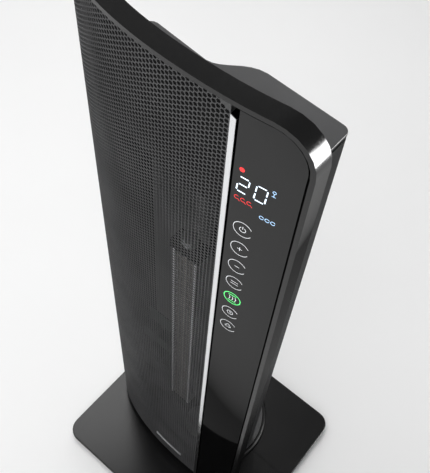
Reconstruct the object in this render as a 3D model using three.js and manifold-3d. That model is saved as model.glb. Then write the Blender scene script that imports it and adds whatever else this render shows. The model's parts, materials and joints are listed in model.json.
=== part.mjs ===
// A ceramic tower heater: a curved front module and a rear housing that swing together on a flat base.
// Millimetres, +Z up. The front faces -Y, and the origin is on the floor, under the middle of the base.
import * as THREE from "three";
import { mergeVertices } from "three/addons/utils/BufferGeometryUtils.js";
import Module from "manifold-3d";

// Overall sizes
const BASE_WIDTH = 288;
const BASE_DEPTH = 264;
const TOWER_TOP = 735;
const HOUSING_DROP = 75; // from the tower's top down to the housing's
const GAP = 0.3; // between pieces that meet
const RUNNING = 0.6; // between pieces that turn or slide on each other

// Base, from the floor up
const BASE_CORNER = 20;
const FOOT_HEIGHT = 2.4;
const FOOT_RADIUS = 11;
const FOOT_INSET = 30;
const BALLAST_THICKNESS = 2.5;
const BALLAST_INSET = 5;
const COVER_THICKNESS = 6.2;
const COVER_EDGE = 1.4; // rounding of the cover's rim
const COVER_SEAM_Y = 21;

// Swivel: the plinth is fixed to the base, and the neck turns in it
const AXIS_Y = 26;
const PLINTH_RADIUS = 80;
const PLINTH_HEIGHT = 8;
const PLINTH_RIM = 5;
const PLINTH_FLOOR = 2;
const PLINTH_EDGE = 2; // chamfer round its top
const NECK_PLATE = 3.2;
const NECK_SINK = 1.5; // how far the neck plate sits below the plinth's rim
const POST_RADIUS = 9;
const POST_BORE = 6;
const BUSH_WALL = 2.6;
const POST_GROOVE = 1; // depth of the clip's groove
const CLIP_THICKNESS = 0.8;
const CLIP_REST = 0.5; // from the post's foot up to the clip
const CLIP_LIP = 2; // how far the clip stands out past the post
const BOTTOM_PLATE_THICKNESS = 2.7;
const BOTTOM_PLATE_INSET = 1; // inside the tower's outline
const GEAR_MODULE = 1.4;
const GEAR_TEETH = 30;
const PINION_TEETH = 10;
const GEAR_PLAY = 0.8; // above the gear, under the neck plate
const TOOTH_TIP = 0.85; // height above the pitch circle, in modules
const TOOTH_ROOT = 1.3; // depth below the pitch circle, in modules
const TOOTH_SHAPE = [[-0.34, "root"], [-0.1, "tip"], [0.1, "tip"], [0.34, "root"]]; // shares of the pitch
const SHAFT_RADIUS = 2.5;
const SWIVEL_MOTOR_RADIUS = 21;
const SWIVEL_MOTOR_HEIGHT = 16;
const SWIVEL_SHAFT_GRIP = 8; // how far the pinion's shaft goes into the motor

// Front module: every piece follows one curve in plan, at its own depth behind it
const CURVE_CENTRE_X = 20;
const CURVE_HALF_WIDTH = 158;
const CURVE_FRONT_Y = -63;
const CURVE_DEPTH = 64;
const CURVE_POWER = 2.2;
const CURVE_RIGHT_RADIUS = 370;
const CURVE_OVERRUN = 20; // past the frame's right side, which trims it
const CURVE_LEFT_STEPS = 26;
const CURVE_LEFT_SPREAD = 1.15; // over 1 sets the points closer towards the left end
const CURVE_RIGHT_STEPS = 7;
const FRAME_RIGHT_X = 94.5;
const FRAME_DEPTH = 15;
const FRAME_RIM = 3.5;
const FRAME_CORNER = 30;
const LEFT_BAR_Y = -12; // the curved front ends here, on its way round to the left end
const BACK_PLATE_INSET = 0.4; // in front of the back of the frame
const BACK_PLATE_THICKNESS = 2.3;
const AIR_LEFT_X = -88; // the window that the air leaves by
const AIR_RIGHT_X = 62;
const AIR_BOTTOM = 70;
const AIR_DROP = 40; // below the housing's top
const AIR_CORNER = 12;
const GRILLE_DEPTH = 0.8;
const GRILLE_THICKNESS = 1.2;
const STRIP_X = 38.5;
const STRIP_WIDTH = 4.1;
const STRIP_DEPTH = 8;
const STRIP_DROP = 6.5; // from the opening's top down to the strip's
const STRIP_POINT = 4;
const PANEL_DEPTH = 1;
const PANEL_THICKNESS = 2.5;
const PANEL_GROOVE = 1.4;
const STRIP_GROOVE = 1.2;
const CARRIER_RIM = 2; // the carrier's walls, and its gap to the frame
const CARRIER_BAR = 12; // its crossbars, above and below its lower hollow
const BADGE_X = -31;
const BADGE_WIDTH = 46;
const BADGE_Z = 58.5;
const BADGE_HEIGHT = 5.5;
const BADGE_THICKNESS = 1.2;
const BOARD_THICKNESS = 1.6;
const BOARD_HEIGHT = 230;
const BOARD_DROP = 31.5; // from the opening's top down to the board's
const BOARD_STANDOFF = 3.5; // behind the panel's back
const BOARD_SIDE = 3;
const DISPLAY_DROP = 38; // from the board's top down to the display's foot
const DISPLAY_HEIGHT = 24;
const DISPLAY_WIDTH = 25;
const DISPLAY_THICKNESS = 1.5;

// Rear housing
const HOUSING_LEFT_X = -107;
const HOUSING_RIGHT_X = 71;
const HOUSING_WALL = 2.5;
const SHOULDER_Y = 22; // back of the shallow left part, at its right end
const SHOULDER_SLOPE = 6.6; // how far its back face goes back towards the left
const SHOULDER_RIGHT_X = -46;
const SHOULDER_CORNER = 8;
const BULGE_CORNER = 7;
const BULGE_SLOPE = 5; // how far the deep right part's back face comes forward towards the right
const BULGE_LEFT_X = -4; // where that face starts
const CAP_THICKNESS = 4;
const CAP_GROOVE = 2.2;
const CAP_SKIRT = 6; // how far the cap reaches down inside the shell
const CAP_SKIRT_WALL = 2;
const WAIST_BACK_X = -24; // how far left the bulge's curve heads before it turns in
const WAIST_FRONT_X = -31; // and how far right the shoulder's curve heads to meet it
const FILTER_MARGIN = 15; // past the blower wheel, above and below
const FILTER_LIFT = 4; // how much further down than up it sits
const FILTER_SIDE = 8; // from the end of the flat back face
const FILTER_THICKNESS = 4;
const FILTER_BORDER = 5;
const FILTER_BARS = 7;
const FILTER_BAR = 1.6;
const FILTER_NETTING = 0.6;
const FILTER_TAB = [16, 3.5, 3]; // width, depth and height of its pull
const RAIL_WIDTH = 3;
const RAIL_LIP = 2;
const RAIL_FRONT = 1.2; // thickness of the lip
const RAIL_STOP = 3;
const INTAKE_MARGIN = 8; // from the filter's edge to the intake window's
const INTAKE_SLOT = 5;
const INTAKE_PITCH = 9;
const INTAKE_RIM = 4;
const HANDLE_DROP = 70; // from the housing's top down to the cup's foot
const HANDLE_HEIGHT = 32;
const HANDLE_SIDE = 10; // from the end of the flat back face
const HANDLE_DEPTH = 20;
const HANDLE_WALL = 2;
const SWITCH_Z = 122;
const SWITCH_WIDTH = 22;
const SWITCH_HEIGHT = 30;
const SWITCH_DEPTH = 16;
const SWITCH_WALL = 2;
const SWITCH_WELL = 10; // depth of the rocker's well
const SWITCH_PROUD = 0.8;
const ROCKER_TILT = 0.2; // radians between on and off
const ROCKER_PIVOT = -2.5; // behind the face
const ROCKER_PLAY = 1.2;
// The rocker from the side: share of its half height, and depth
const ROCKER_SIDE = [[0, -4], [1, -2.5], [1, 1.2], [0, 0], [-1, 1.2], [-1, -2.5]];
const GLAND_Z = 70;
const GLAND_RADIUS = 9;
const GLAND_BORE = 4;
const GLAND_FLANGE = 2;
const GLAND_PROUD = 2.5;
const GLAND_REACH = 6; // inside the shell
const SCREW_HEAD = 3.6;
const SCREW_HEAD_HEIGHT = 2.2;
const SCREW_SHANK = 1.7;
const SCREW_LENGTH = 9;
const SCREW_SPREAD = 18;
const SCREW_LOW_Z = 168;
const SCREW_DROP = 60; // the upper screws, below the housing's top

// Heater and blower
const WHEEL_RADIUS = 29;
const WHEEL_BOTTOM = 215;
const WHEEL_DROP = 70; // from the handle cup's foot down to the wheel's top
const WHEEL_DISC = 1.6;
const BLADES = 16;
const BLADE_CHORD = 9;
const BLADE_THICKNESS = 0.9;
const BLADE_PITCH = 0.6; // radians
const BLADE_INSET = 0.6; // inside the discs' edge
const SCROLL_WALL = 1.5;
const SCROLL_CLEARANCE = 1.6;
const SCROLL_PLATE = 3;
const SCROLL_REST = 1; // more clearance round the wheel for its walls
const SCROLL_STEPS = 14;
const SCROLL_MAIN = [-0.62, 0.12]; // half turns from +X that the wall in front of the wheel covers
const SCROLL_CUTOFF = [0.86, 1.02]; // and the short wall at its left
const SCROLL_SIDE = 5.4; // from its right to the inside of the housing
const SCROLL_BACK = 2.7; // from its back to the inside of the housing
const SCROLL_FORWARD = 1.1; // how far its front passes the heater's back
const WHEEL_SHAFT = 3;
const SHAFT_PROUD = 6; // above the scroll housing
const SHAFT_CLEAR = 10; // from its foot to the motor's
const MOTOR_RADIUS = 26;
const MOTOR_HEIGHT = 58;
const MOTOR_FLOOR = 8;
const BEARING_RADIUS = 9;
const BEARING_HEIGHT = 9;
const HEATER_OVERLAP = 13.6; // how far its right side reaches in past the scroll's left
const HEATER_WIDTH = 26.6;
const HEATER_CLEAR = 1; // behind the back of the frame
const HEATER_DEPTH = 13;
const HEATER_MARGIN = 3; // past the blower wheel, above and below
const HEATER_RAIL = 3.2;
const FIN_PITCH = 10;
const FIN_THICKNESS = 4;
const FIN_SPINE = 3;
const HEATER_CAP = 12;
const HEATER_CAP_SIDE = 2;
const CUTOUT_RADIUS = 7;
const CUTOUT_HEIGHT = 8;

// Electrics at the left of the housing: places from its inside wall, and sizes
const POWER_BOARD = { side: 4.5, width: 50, bottom: 110, height: 140, behind: 14 };
const RELAY = { sides: [4, 26], width: 16, bottom: 200, height: 22, depth: 14 };
const TRANSFORMER = { side: 6, width: 26, bottom: 130, height: 30, depth: 20 };
const CAPACITOR = { side: 38, radius: 7, z: 150, depth: 16 };
const TILT_SWITCH = { side: 14.5, width: 22, front: -22, depth: 16, height: 20 };
const SOLDER = 0.1; // how far the components reach into the board

// Sizes that follow
const HOUSING_TOP = TOWER_TOP - HOUSING_DROP;
const BALLAST_Z = FOOT_HEIGHT + GAP;
const COVER_Z = BALLAST_Z + BALLAST_THICKNESS + GAP;
const PLINTH_Z = COVER_Z + COVER_THICKNESS + GAP;
const PLINTH_TOP = PLINTH_Z + PLINTH_HEIGHT;
const NECK_Z = PLINTH_TOP - NECK_SINK;
const HUB_BORE = POST_RADIUS + RUNNING + BUSH_WALL + GAP; // through the cover and the plinth
const POST_FOOT = COVER_Z + GAP;
const CLIP_Z = POST_FOOT + CLIP_REST;
const BOTTOM_PLATE_Z = NECK_Z + NECK_PLATE + GAP;
const TOWER_BOTTOM = BOTTOM_PLATE_Z + BOTTOM_PLATE_THICKNESS + GAP;
const GEAR_Z = PLINTH_Z + PLINTH_FLOOR + GAP;
const GEAR_THICKNESS = NECK_Z - GEAR_Z - GEAR_PLAY;
const PINION_Y = AXIS_Y - (GEAR_MODULE * (GEAR_TEETH + PINION_TEETH)) / 2;
const OPENING_BOTTOM = TOWER_BOTTOM + FRAME_RIM;
const OPENING_TOP = TOWER_TOP - FRAME_RIM;
const OPENING_RIGHT = FRAME_RIGHT_X - FRAME_RIM;
const OPENING_CORNER = FRAME_CORNER - FRAME_RIM;
const BACK_PLATE_DEPTH = FRAME_DEPTH - BACK_PLATE_THICKNESS - BACK_PLATE_INSET;
const STRIP_TOP = OPENING_TOP - STRIP_DROP;
const BOARD_TOP = OPENING_TOP - BOARD_DROP;
const BOARD_BOTTOM = BOARD_TOP - BOARD_HEIGHT;
const PANEL_LEFT = STRIP_X + STRIP_WIDTH + STRIP_GROOVE;
const PANEL_RIGHT = OPENING_RIGHT - PANEL_GROOVE;
const CAP_Z = HOUSING_TOP - CAP_THICKNESS;
const SHELL_TOP = CAP_Z - CAP_GROOVE;
const HOUSING_FRONT = FRAME_DEPTH + GAP;
const BACK_FACE_WIDTH = HOUSING_RIGHT_X - BULGE_CORNER - BULGE_LEFT_X;
const HANDLE_Z = HOUSING_TOP - HANDLE_DROP;
const HANDLE_WIDTH = BACK_FACE_WIDTH - 2 * HANDLE_SIDE;
const SCROLL_REACH = WHEEL_RADIUS + SCROLL_CLEARANCE + SCROLL_REST + SCROLL_WALL;
const WHEEL_X = HOUSING_RIGHT_X - HOUSING_WALL - SCROLL_SIDE - SCROLL_REACH;
const HEATER_FRONT_Y = CURVE_FRONT_Y + FRAME_DEPTH + HEATER_CLEAR;
const WHEEL_Y = HEATER_FRONT_Y + HEATER_DEPTH - SCROLL_FORWARD + SCROLL_REACH;
const BULGE_Y = WHEEL_Y + SCROLL_REACH + SCROLL_BACK + HOUSING_WALL + BULGE_SLOPE; // holds the blower
const WHEEL_TOP = HANDLE_Z - WHEEL_DROP;
const WHEEL_HEIGHT = WHEEL_TOP - WHEEL_BOTTOM;
const FILTER_Z = WHEEL_BOTTOM - FILTER_MARGIN - FILTER_LIFT;
const FILTER_HEIGHT = WHEEL_HEIGHT + 2 * FILTER_MARGIN;
const FILTER_WIDTH = BACK_FACE_WIDTH - 2 * FILTER_SIDE;
const HEATER_RIGHT_X = WHEEL_X - SCROLL_REACH + HEATER_OVERLAP;
const SCROLL_Z = WHEEL_BOTTOM - SCROLL_CLEARANCE - SCROLL_PLATE;
const SCROLL_TOP = WHEEL_TOP + SCROLL_CLEARANCE + SCROLL_PLATE;
const FAR = TOWER_TOP + HOUSING_DROP; // reaches past every piece
const WINDOW_REACH = 10; // how far the back face's windows are cut in, which stays clear of the other side

const wasm = await Module();
wasm.setup();

// ---- Solids ----

// A closed three.js geometry as a solid that can be joined and cut.
function solid(geometry) {
  const bare = geometry.clone();
  bare.deleteAttribute("normal");
  bare.deleteAttribute("uv");
  const merged = mergeVertices(bare, 1e-4);
  const vertProperties = new Float32Array(merged.attributes.position.array);
  const triVerts = new Uint32Array(merged.index.array);
  return new wasm.Manifold(new wasm.Mesh({ numProp: 3, vertProperties, triVerts }));
}

function geometryOf(body) {
  const mesh = body.getMesh();
  const geometry = new THREE.BufferGeometry();
  geometry.setAttribute("position", new THREE.BufferAttribute(mesh.vertProperties, 3));
  geometry.setIndex(new THREE.BufferAttribute(mesh.triVerts, 1));
  const flat = geometry.toNonIndexed();
  flat.computeVertexNormals();
  return flat;
}

const join = (first, ...others) => others.reduce((whole, piece) => whole.add(piece), first);
const cut = (first, ...others) => others.reduce((whole, piece) => whole.subtract(piece), first);

function shapeOf(points) {
  return new THREE.Shape(points.map(([x, y]) => new THREE.Vector2(x, y)));
}

// A plan outline raised from z0 to z1.
function prism(points, z0, z1) {
  const geometry = new THREE.ExtrudeGeometry(shapeOf(points), { depth: z1 - z0, bevelEnabled: false });
  return solid(geometry.translate(0, 0, z0));
}

// A front-view outline of [x, z] points, running from y0 back to y1.
function prismY(points, y0, y1) {
  const geometry = new THREE.ExtrudeGeometry(shapeOf(points), { depth: y1 - y0, bevelEnabled: false });
  return solid(geometry.rotateX(Math.PI / 2).translate(0, y1, 0));
}

function box(x0, x1, y0, y1, z0, z1) {
  const geometry = new THREE.BoxGeometry(x1 - x0, y1 - y0, z1 - z0);
  return solid(geometry.translate((x0 + x1) / 2, (y0 + y1) / 2, (z0 + z1) / 2));
}

function cylinder(radius, x, y, z0, z1, sides = 32) {
  const geometry = new THREE.CylinderGeometry(radius, radius, z1 - z0, sides).rotateX(Math.PI / 2);
  return solid(geometry.translate(x, y, (z0 + z1) / 2));
}

// A cylinder along Y, for holes and heads in the back face.
function cylinderY(radius, x, z, y0, y1, sides = 20) {
  const geometry = new THREE.CylinderGeometry(radius, radius, y1 - y0, sides);
  return solid(geometry.translate(x, (y0 + y1) / 2, z));
}

// A closed profile of [radius, z] points, counter-clockwise, turned about the vertical through x, y.
function turned(profile, x, y, sides = 48) {
  const points = profile.map(([radius, z]) => new THREE.Vector2(radius, z));
  const geometry = new THREE.LatheGeometry([...points, points[0]], sides).rotateX(Math.PI / 2);
  return solid(geometry.translate(x, y, 0));
}

const ring = (inner, outer, x, y, z0, z1, sides = 32) =>
  turned([[inner, z0], [outer, z0], [outer, z1], [inner, z1]], x, y, sides);

// Points of an arc about cx, cy from angle a0 to a1, ends included.
function arc(cx, cy, radius, a0, a1, steps) {
  return Array.from({ length: steps + 1 }, (_, i) => {
    const angle = a0 + ((a1 - a0) * i) / steps;
    return [cx + radius * Math.cos(angle), cy + radius * Math.sin(angle)];
  });
}

// A rectangle whose corners are rounded: right-hand ones by right, left-hand ones by left.
function roundedRectangle(x0, x1, z0, z1, right, left = right) {
  const quarter = Math.PI / 2;
  return [
    ...arc(x1 - right, z0 + right, right, -quarter, 0, 6),
    ...arc(x1 - right, z1 - right, right, 0, quarter, 6),
    ...arc(x0 + left, z1 - left, left, quarter, 2 * quarter, 6),
    ...arc(x0 + left, z0 + left, left, 2 * quarter, 3 * quarter, 6),
  ];
}

// ---- The front curve ----

// The shallow right-hand part of the front, in plan.
const frontY = (x) => CURVE_FRONT_Y + (x - CURVE_CENTRE_X) ** 2 / (2 * CURVE_RIGHT_RADIUS);

// The front in plan, from its left end round to the right-hand side.
function frontCurve() {
  const points = [];
  for (let i = 1; i <= CURVE_LEFT_STEPS; i += 1) {
    const angle = (Math.PI / 2) * (i / CURVE_LEFT_STEPS) ** CURVE_LEFT_SPREAD;
    const across = Math.cos(angle) ** (2 / CURVE_POWER);
    const forward = Math.sin(angle) ** (2 / CURVE_POWER);
    const y = CURVE_FRONT_Y + CURVE_DEPTH * (1 - forward);
    points.push([CURVE_CENTRE_X - CURVE_HALF_WIDTH * across, y]);
  }
  for (let i = 1; i <= CURVE_RIGHT_STEPS; i += 1) {
    const x = CURVE_CENTRE_X + ((FRAME_RIGHT_X - CURVE_CENTRE_X + CURVE_OVERRUN) * i) / CURVE_RIGHT_STEPS;
    points.push([x, frontY(x)]);
  }
  return points;
}

// The same curve a distance behind the front.
function curveBehind(distance) {
  const curve = frontCurve();
  return curve.map(([x, y], i) => {
    const [ax, ay] = curve[Math.max(i - 1, 0)];
    const [bx, by] = curve[Math.min(i + 1, curve.length - 1)];
    const length = Math.hypot(bx - ax, by - ay);
    return [x - (distance * (by - ay)) / length, y + (distance * (bx - ax)) / length];
  });
}

// The upright sheet between two depths behind the front.
function band(near, far, z0 = TOWER_BOTTOM, z1 = TOWER_TOP) {
  return prism([...curveBehind(near), ...curveBehind(far).reverse()], z0, z1);
}

// Everything in front of a depth, which trims what stands behind the front module.
function inFrontOf(depth) {
  const curve = curveBehind(depth);
  const right = curve[curve.length - 1][0];
  return prism([[-FAR, curve[0][1]], [-FAR, -FAR], [right, -FAR], ...curve.reverse()], -FAR, FAR);
}

// The front opening, smaller all round by inset, up to its own right-hand side or another.
function opening(inset, right = OPENING_RIGHT - inset, corner = OPENING_CORNER - inset) {
  const outline = roundedRectangle(-FAR, right, OPENING_BOTTOM + inset, OPENING_TOP - inset, corner, 0.5);
  return prismY(outline, -FAR, LEFT_BAR_Y - inset);
}

// ---- The rear housing in plan ----

// The outline from the right-hand front round the back to the left-hand front, inset by a wall.
function housingOutline(inset) {
  const quarter = Math.PI / 2;
  const right = HOUSING_RIGHT_X - inset;
  const left = HOUSING_LEFT_X + inset;
  const cornerY = BULGE_Y - BULGE_SLOPE - BULGE_CORNER;
  const leftY = SHOULDER_Y + SHOULDER_SLOPE - SHOULDER_CORNER;
  const waist = new THREE.CubicBezierCurve(
    new THREE.Vector2(BULGE_LEFT_X, BULGE_Y - inset),
    new THREE.Vector2(WAIST_BACK_X, BULGE_Y - inset),
    new THREE.Vector2(WAIST_FRONT_X, SHOULDER_Y - inset),
    new THREE.Vector2(SHOULDER_RIGHT_X - inset, SHOULDER_Y - inset),
  );
  return [
    [right, -FAR],
    ...arc(HOUSING_RIGHT_X - BULGE_CORNER, cornerY, BULGE_CORNER - inset, 0, quarter, 5),
    ...waist.getPoints(8).map((point) => [point.x, point.y]),
    ...arc(HOUSING_LEFT_X + SHOULDER_CORNER, leftY, SHOULDER_CORNER - inset, quarter, 2 * quarter, 4),
    [left, -FAR],
  ];
}

// A group whose y = 0 is the upright plane from the left point to the right point.
function faceGroup([leftX, leftY], [rightX, rightY]) {
  const group = new THREE.Group();
  group.position.set((leftX + rightX) / 2, (leftY + rightY) / 2, 0);
  group.rotation.z = Math.atan2(rightY - leftY, rightX - leftX);
  group.updateMatrix();
  return group;
}

const backFace = faceGroup([BULGE_LEFT_X, BULGE_Y], [HOUSING_RIGHT_X - BULGE_CORNER, BULGE_Y - BULGE_SLOPE]);
const shoulderFace = faceGroup(
  [HOUSING_LEFT_X + SHOULDER_CORNER, SHOULDER_Y + SHOULDER_SLOPE],
  [SHOULDER_RIGHT_X, SHOULDER_Y],
);

// A tool made in a face's own frame, brought into the part's frame to cut the shell.
const fromFace = (face, tool) => solid(geometryOf(tool).applyMatrix4(face.matrix));

// ---- Materials ----

const finish = (color, roughness, metalness = 0) =>
  new THREE.MeshStandardMaterial({ color, roughness, metalness });
const glossBlack = finish(0x0b0b0c, 0.08);
const satinBlack = finish(0x1c1c1e, 0.35);
const mattBlack = finish(0x141415, 0.7);
const grey = finish(0x3a3c3f, 0.6);
const paintedSteel = finish(0x26272a, 0.45, 0.6);
const zincSteel = finish(0xa8abad, 0.4, 1);
const chrome = finish(0xe2e4e6, 0.08, 1);
const aluminium = finish(0xc9cccf, 0.3, 1);
const ceramic = finish(0x8d8a84, 0.8);
const rubber = finish(0x0e0e0e, 0.9);
const boardGreen = finish(0x14452c, 0.5);
const glassBlack = finish(0x050506, 0.03);
const nylon = finish(0xd8d6cf, 0.5);
const meshGrey = finish(0x2c2d2f, 0.8);

const heater = new THREE.Group();
const base = new THREE.Group();
const tower = new THREE.Group();
heater.add(base, tower);
tower.add(backFace, shoulderFace);

function add(group, name, body, material, position = [0, 0, 0]) {
  const mesh = new THREE.Mesh(geometryOf(body), material);
  mesh.name = name;
  mesh.position.set(...position);
  group.add(mesh);
}

// ---- Base ----

function baseCovers() {
  const [w, d] = [BASE_WIDTH / 2 - COVER_EDGE, BASE_DEPTH / 2 - COVER_EDGE];
  const outline = shapeOf(roundedRectangle(-w, w, -d, d, BASE_CORNER - COVER_EDGE));
  const depth = COVER_THICKNESS - 2 * COVER_EDGE;
  const edge = { bevelThickness: COVER_EDGE, bevelSize: COVER_EDGE, bevelSegments: 3 };
  const geometry = new THREE.ExtrudeGeometry(outline, { depth, bevelEnabled: true, ...edge });
  const plate = solid(geometry.translate(0, 0, COVER_Z + COVER_EDGE));
  const bore = cylinder(HUB_BORE, 0, AXIS_Y, -FAR, FAR);
  const front = box(-FAR, FAR, -FAR, COVER_SEAM_Y, -FAR, FAR);
  const rear = box(-FAR, FAR, COVER_SEAM_Y + GAP, FAR, -FAR, FAR);
  add(base, "base_cover_front", cut(plate.intersect(front), bore), glossBlack);
  add(base, "base_cover_rear", cut(plate.intersect(rear), bore), glossBlack);
}

function ballastAndFeet() {
  const [w, d] = [BASE_WIDTH / 2 - BALLAST_INSET, BASE_DEPTH / 2 - BALLAST_INSET];
  const outline = roundedRectangle(-w, w, -d, d, BASE_CORNER - BALLAST_INSET);
  const plate = prism(outline, BALLAST_Z, BALLAST_Z + BALLAST_THICKNESS);
  add(base, "ballast_plate", cut(plate, cylinder(POST_BORE, 0, AXIS_Y, -FAR, FAR)), paintedSteel);
  const [x, y] = [BASE_WIDTH / 2 - FOOT_INSET, BASE_DEPTH / 2 - FOOT_INSET];
  const places = { front_left: [-x, -y], front_right: [x, -y], rear_left: [-x, y], rear_right: [x, y] };
  for (const [place, [px, py]] of Object.entries(places)) {
    add(base, `foot_${place}`, cylinder(FOOT_RADIUS, 0, 0, 0, FOOT_HEIGHT), rubber, [px, py, 0]);
  }
}

// ---- Swivel ----

// A spur gear's outline about the origin, with a tooth or a gap on the +X side.
function gearOutline(teeth, toothFirst) {
  const pitchRadius = (GEAR_MODULE * teeth) / 2;
  const radii = { root: pitchRadius - TOOTH_ROOT * GEAR_MODULE, tip: pitchRadius + TOOTH_TIP * GEAR_MODULE };
  const step = (2 * Math.PI) / teeth;
  const first = toothFirst ? 0 : step / 2;
  const points = [];
  for (let i = 0; i < teeth; i += 1) {
    const middle = first + i * step;
    for (const [share, edge] of TOOTH_SHAPE) {
      const angle = middle + share * step;
      points.push([radii[edge] * Math.cos(angle), radii[edge] * Math.sin(angle)]);
    }
  }
  return points;
}

const turnedAndMoved = (points, angle, x, y) =>
  points.map(([px, py]) => [
    x + px * Math.cos(angle) - py * Math.sin(angle),
    y + px * Math.sin(angle) + py * Math.cos(angle),
  ]);

function plinth() {
  const bore = PLINTH_RADIUS - PLINTH_RIM;
  const floor = PLINTH_Z + PLINTH_FLOOR;
  const body = turned(
    [
      [HUB_BORE, PLINTH_Z],
      [PLINTH_RADIUS, PLINTH_Z],
      [PLINTH_RADIUS, PLINTH_TOP - PLINTH_EDGE],
      [PLINTH_RADIUS - PLINTH_EDGE, PLINTH_TOP],
      [bore, PLINTH_TOP],
      [bore, floor],
      [HUB_BORE, floor],
    ],
    0,
    AXIS_Y,
  );
  add(base, "swivel_plinth", body, glossBlack);
  const bushBottom = CLIP_Z + CLIP_THICKNESS + RUNNING;
  const bush = ring(POST_RADIUS + RUNNING / 2, HUB_BORE - GAP, 0, AXIS_Y, bushBottom, floor - GAP);
  add(base, "swivel_bush", bush, nylon);
  const teeth = turnedAndMoved(gearOutline(GEAR_TEETH, false), -Math.PI / 2, 0, AXIS_Y);
  const gear = prism(teeth, GEAR_Z, GEAR_Z + GEAR_THICKNESS);
  add(base, "swivel_gear", cut(gear, cylinder(HUB_BORE - GAP, 0, AXIS_Y, -FAR, FAR)), nylon);
}

function neck() {
  const outer = PLINTH_RADIUS - PLINTH_RIM - RUNNING;
  const groove = POST_RADIUS - POST_GROOVE;
  const body = turned(
    [
      [POST_BORE, POST_FOOT],
      [POST_RADIUS, POST_FOOT],
      [POST_RADIUS, CLIP_Z - GAP],
      [groove, CLIP_Z - GAP],
      [groove, CLIP_Z + CLIP_THICKNESS + GAP],
      [POST_RADIUS, CLIP_Z + CLIP_THICKNESS + GAP],
      [POST_RADIUS, NECK_Z],
      [outer, NECK_Z],
      [outer, NECK_Z + NECK_PLATE],
      [POST_BORE, NECK_Z + NECK_PLATE],
    ],
    0,
    AXIS_Y,
  );
  const shaftHole = cylinder(SHAFT_RADIUS + RUNNING, 0, PINION_Y, -FAR, FAR, 20);
  add(tower, "neck_plate", cut(body, shaftHole), satinBlack);
  const clip = ring(groove + GAP, POST_RADIUS + CLIP_LIP, 0, AXIS_Y, CLIP_Z, CLIP_Z + CLIP_THICKNESS);
  add(tower, "retaining_clip", clip, zincSteel);
}

function swivelDrive() {
  const outline = turnedAndMoved(gearOutline(PINION_TEETH, true), Math.PI / 2, 0, PINION_Y);
  const teeth = prism(outline, GEAR_Z, GEAR_Z + GEAR_THICKNESS);
  const shaftTop = TOWER_BOTTOM + SWIVEL_SHAFT_GRIP;
  const shaft = cylinder(SHAFT_RADIUS, 0, PINION_Y, GEAR_Z + GAP, shaftTop, 20);
  add(tower, "drive_pinion", teeth.add(shaft), nylon);
  const can = cylinder(SWIVEL_MOTOR_RADIUS, 0, PINION_Y, TOWER_BOTTOM, TOWER_BOTTOM + SWIVEL_MOTOR_HEIGHT);
  const bore = cylinder(SHAFT_RADIUS + GAP, 0, PINION_Y, -FAR, shaftTop + 1, 20);
  add(tower, "swivel_motor", cut(can, bore), zincSteel);
}

// ---- Front module ----

function frontFrame() {
  const outer = roundedRectangle(-FAR, FRAME_RIGHT_X, TOWER_BOTTOM, TOWER_TOP, FRAME_CORNER, 1);
  const block = band(0, FRAME_DEPTH).intersect(prismY(outer, -FAR, FAR));
  add(tower, "front_frame", cut(block, opening(0)), glossBlack);
}

function backPlate() {
  const far = BACK_PLATE_DEPTH + BACK_PLATE_THICKNESS;
  const sheet = band(BACK_PLATE_DEPTH, far).intersect(opening(GAP));
  const airTop = HOUSING_TOP - AIR_DROP;
  const air = prismY(roundedRectangle(AIR_LEFT_X, AIR_RIGHT_X, AIR_BOTTOM, airTop, AIR_CORNER), -FAR, FAR);
  add(tower, "back_plate", cut(sheet, air), mattBlack);
}

function grille() {
  const sheet = band(GRILLE_DEPTH, GRILLE_DEPTH + GRILLE_THICKNESS);
  add(tower, "front_grille", sheet.intersect(opening(GAP, STRIP_X - GAP, 0.5)), meshGrey);
}

function stripAndPanel() {
  const right = STRIP_X + STRIP_WIDTH;
  const bottom = OPENING_BOTTOM + GAP;
  const top = STRIP_TOP - STRIP_POINT;
  const outline = [[STRIP_X, bottom], [right, bottom], [right, top], [STRIP_X, STRIP_TOP]];
  const strip = band(0, STRIP_DEPTH).intersect(prismY(outline, -FAR, 0));
  add(tower, "trim_strip", strip, chrome);
  const corner = OPENING_CORNER - PANEL_GROOVE;
  const face = roundedRectangle(PANEL_LEFT, PANEL_RIGHT, bottom, OPENING_TOP - PANEL_GROOVE, corner, 0.5);
  const sheet = band(PANEL_DEPTH, PANEL_DEPTH + PANEL_THICKNESS).intersect(prismY(face, -FAR, 0));
  add(tower, "control_panel", sheet, glassBlack);
  const carrier = band(PANEL_DEPTH + PANEL_THICKNESS + GAP, BACK_PLATE_DEPTH - GAP);
  const rim = CARRIER_RIM;
  const sides = roundedRectangle(PANEL_LEFT, OPENING_RIGHT - rim, bottom, OPENING_TOP - rim, corner, 0.5);
  const [left, far] = [PANEL_LEFT + rim, PANEL_RIGHT - rim];
  const pocket = box(left, far, -FAR, 0, BOARD_BOTTOM - rim, BOARD_TOP + rim);
  const hollow = box(left, far, -FAR, 0, OPENING_BOTTOM + CARRIER_BAR, BOARD_BOTTOM - CARRIER_BAR);
  add(tower, "panel_carrier", cut(carrier.intersect(prismY(sides, -FAR, 0)), pocket, hollow), mattBlack);
}

function badge() {
  const sheet = band(GRILLE_DEPTH - GAP - BADGE_THICKNESS, GRILLE_DEPTH - GAP);
  const outline = box(BADGE_X, BADGE_X + BADGE_WIDTH, -FAR, 0, BADGE_Z, BADGE_Z + BADGE_HEIGHT);
  add(tower, "badge_bar", sheet.intersect(outline), chrome);
}

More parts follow.
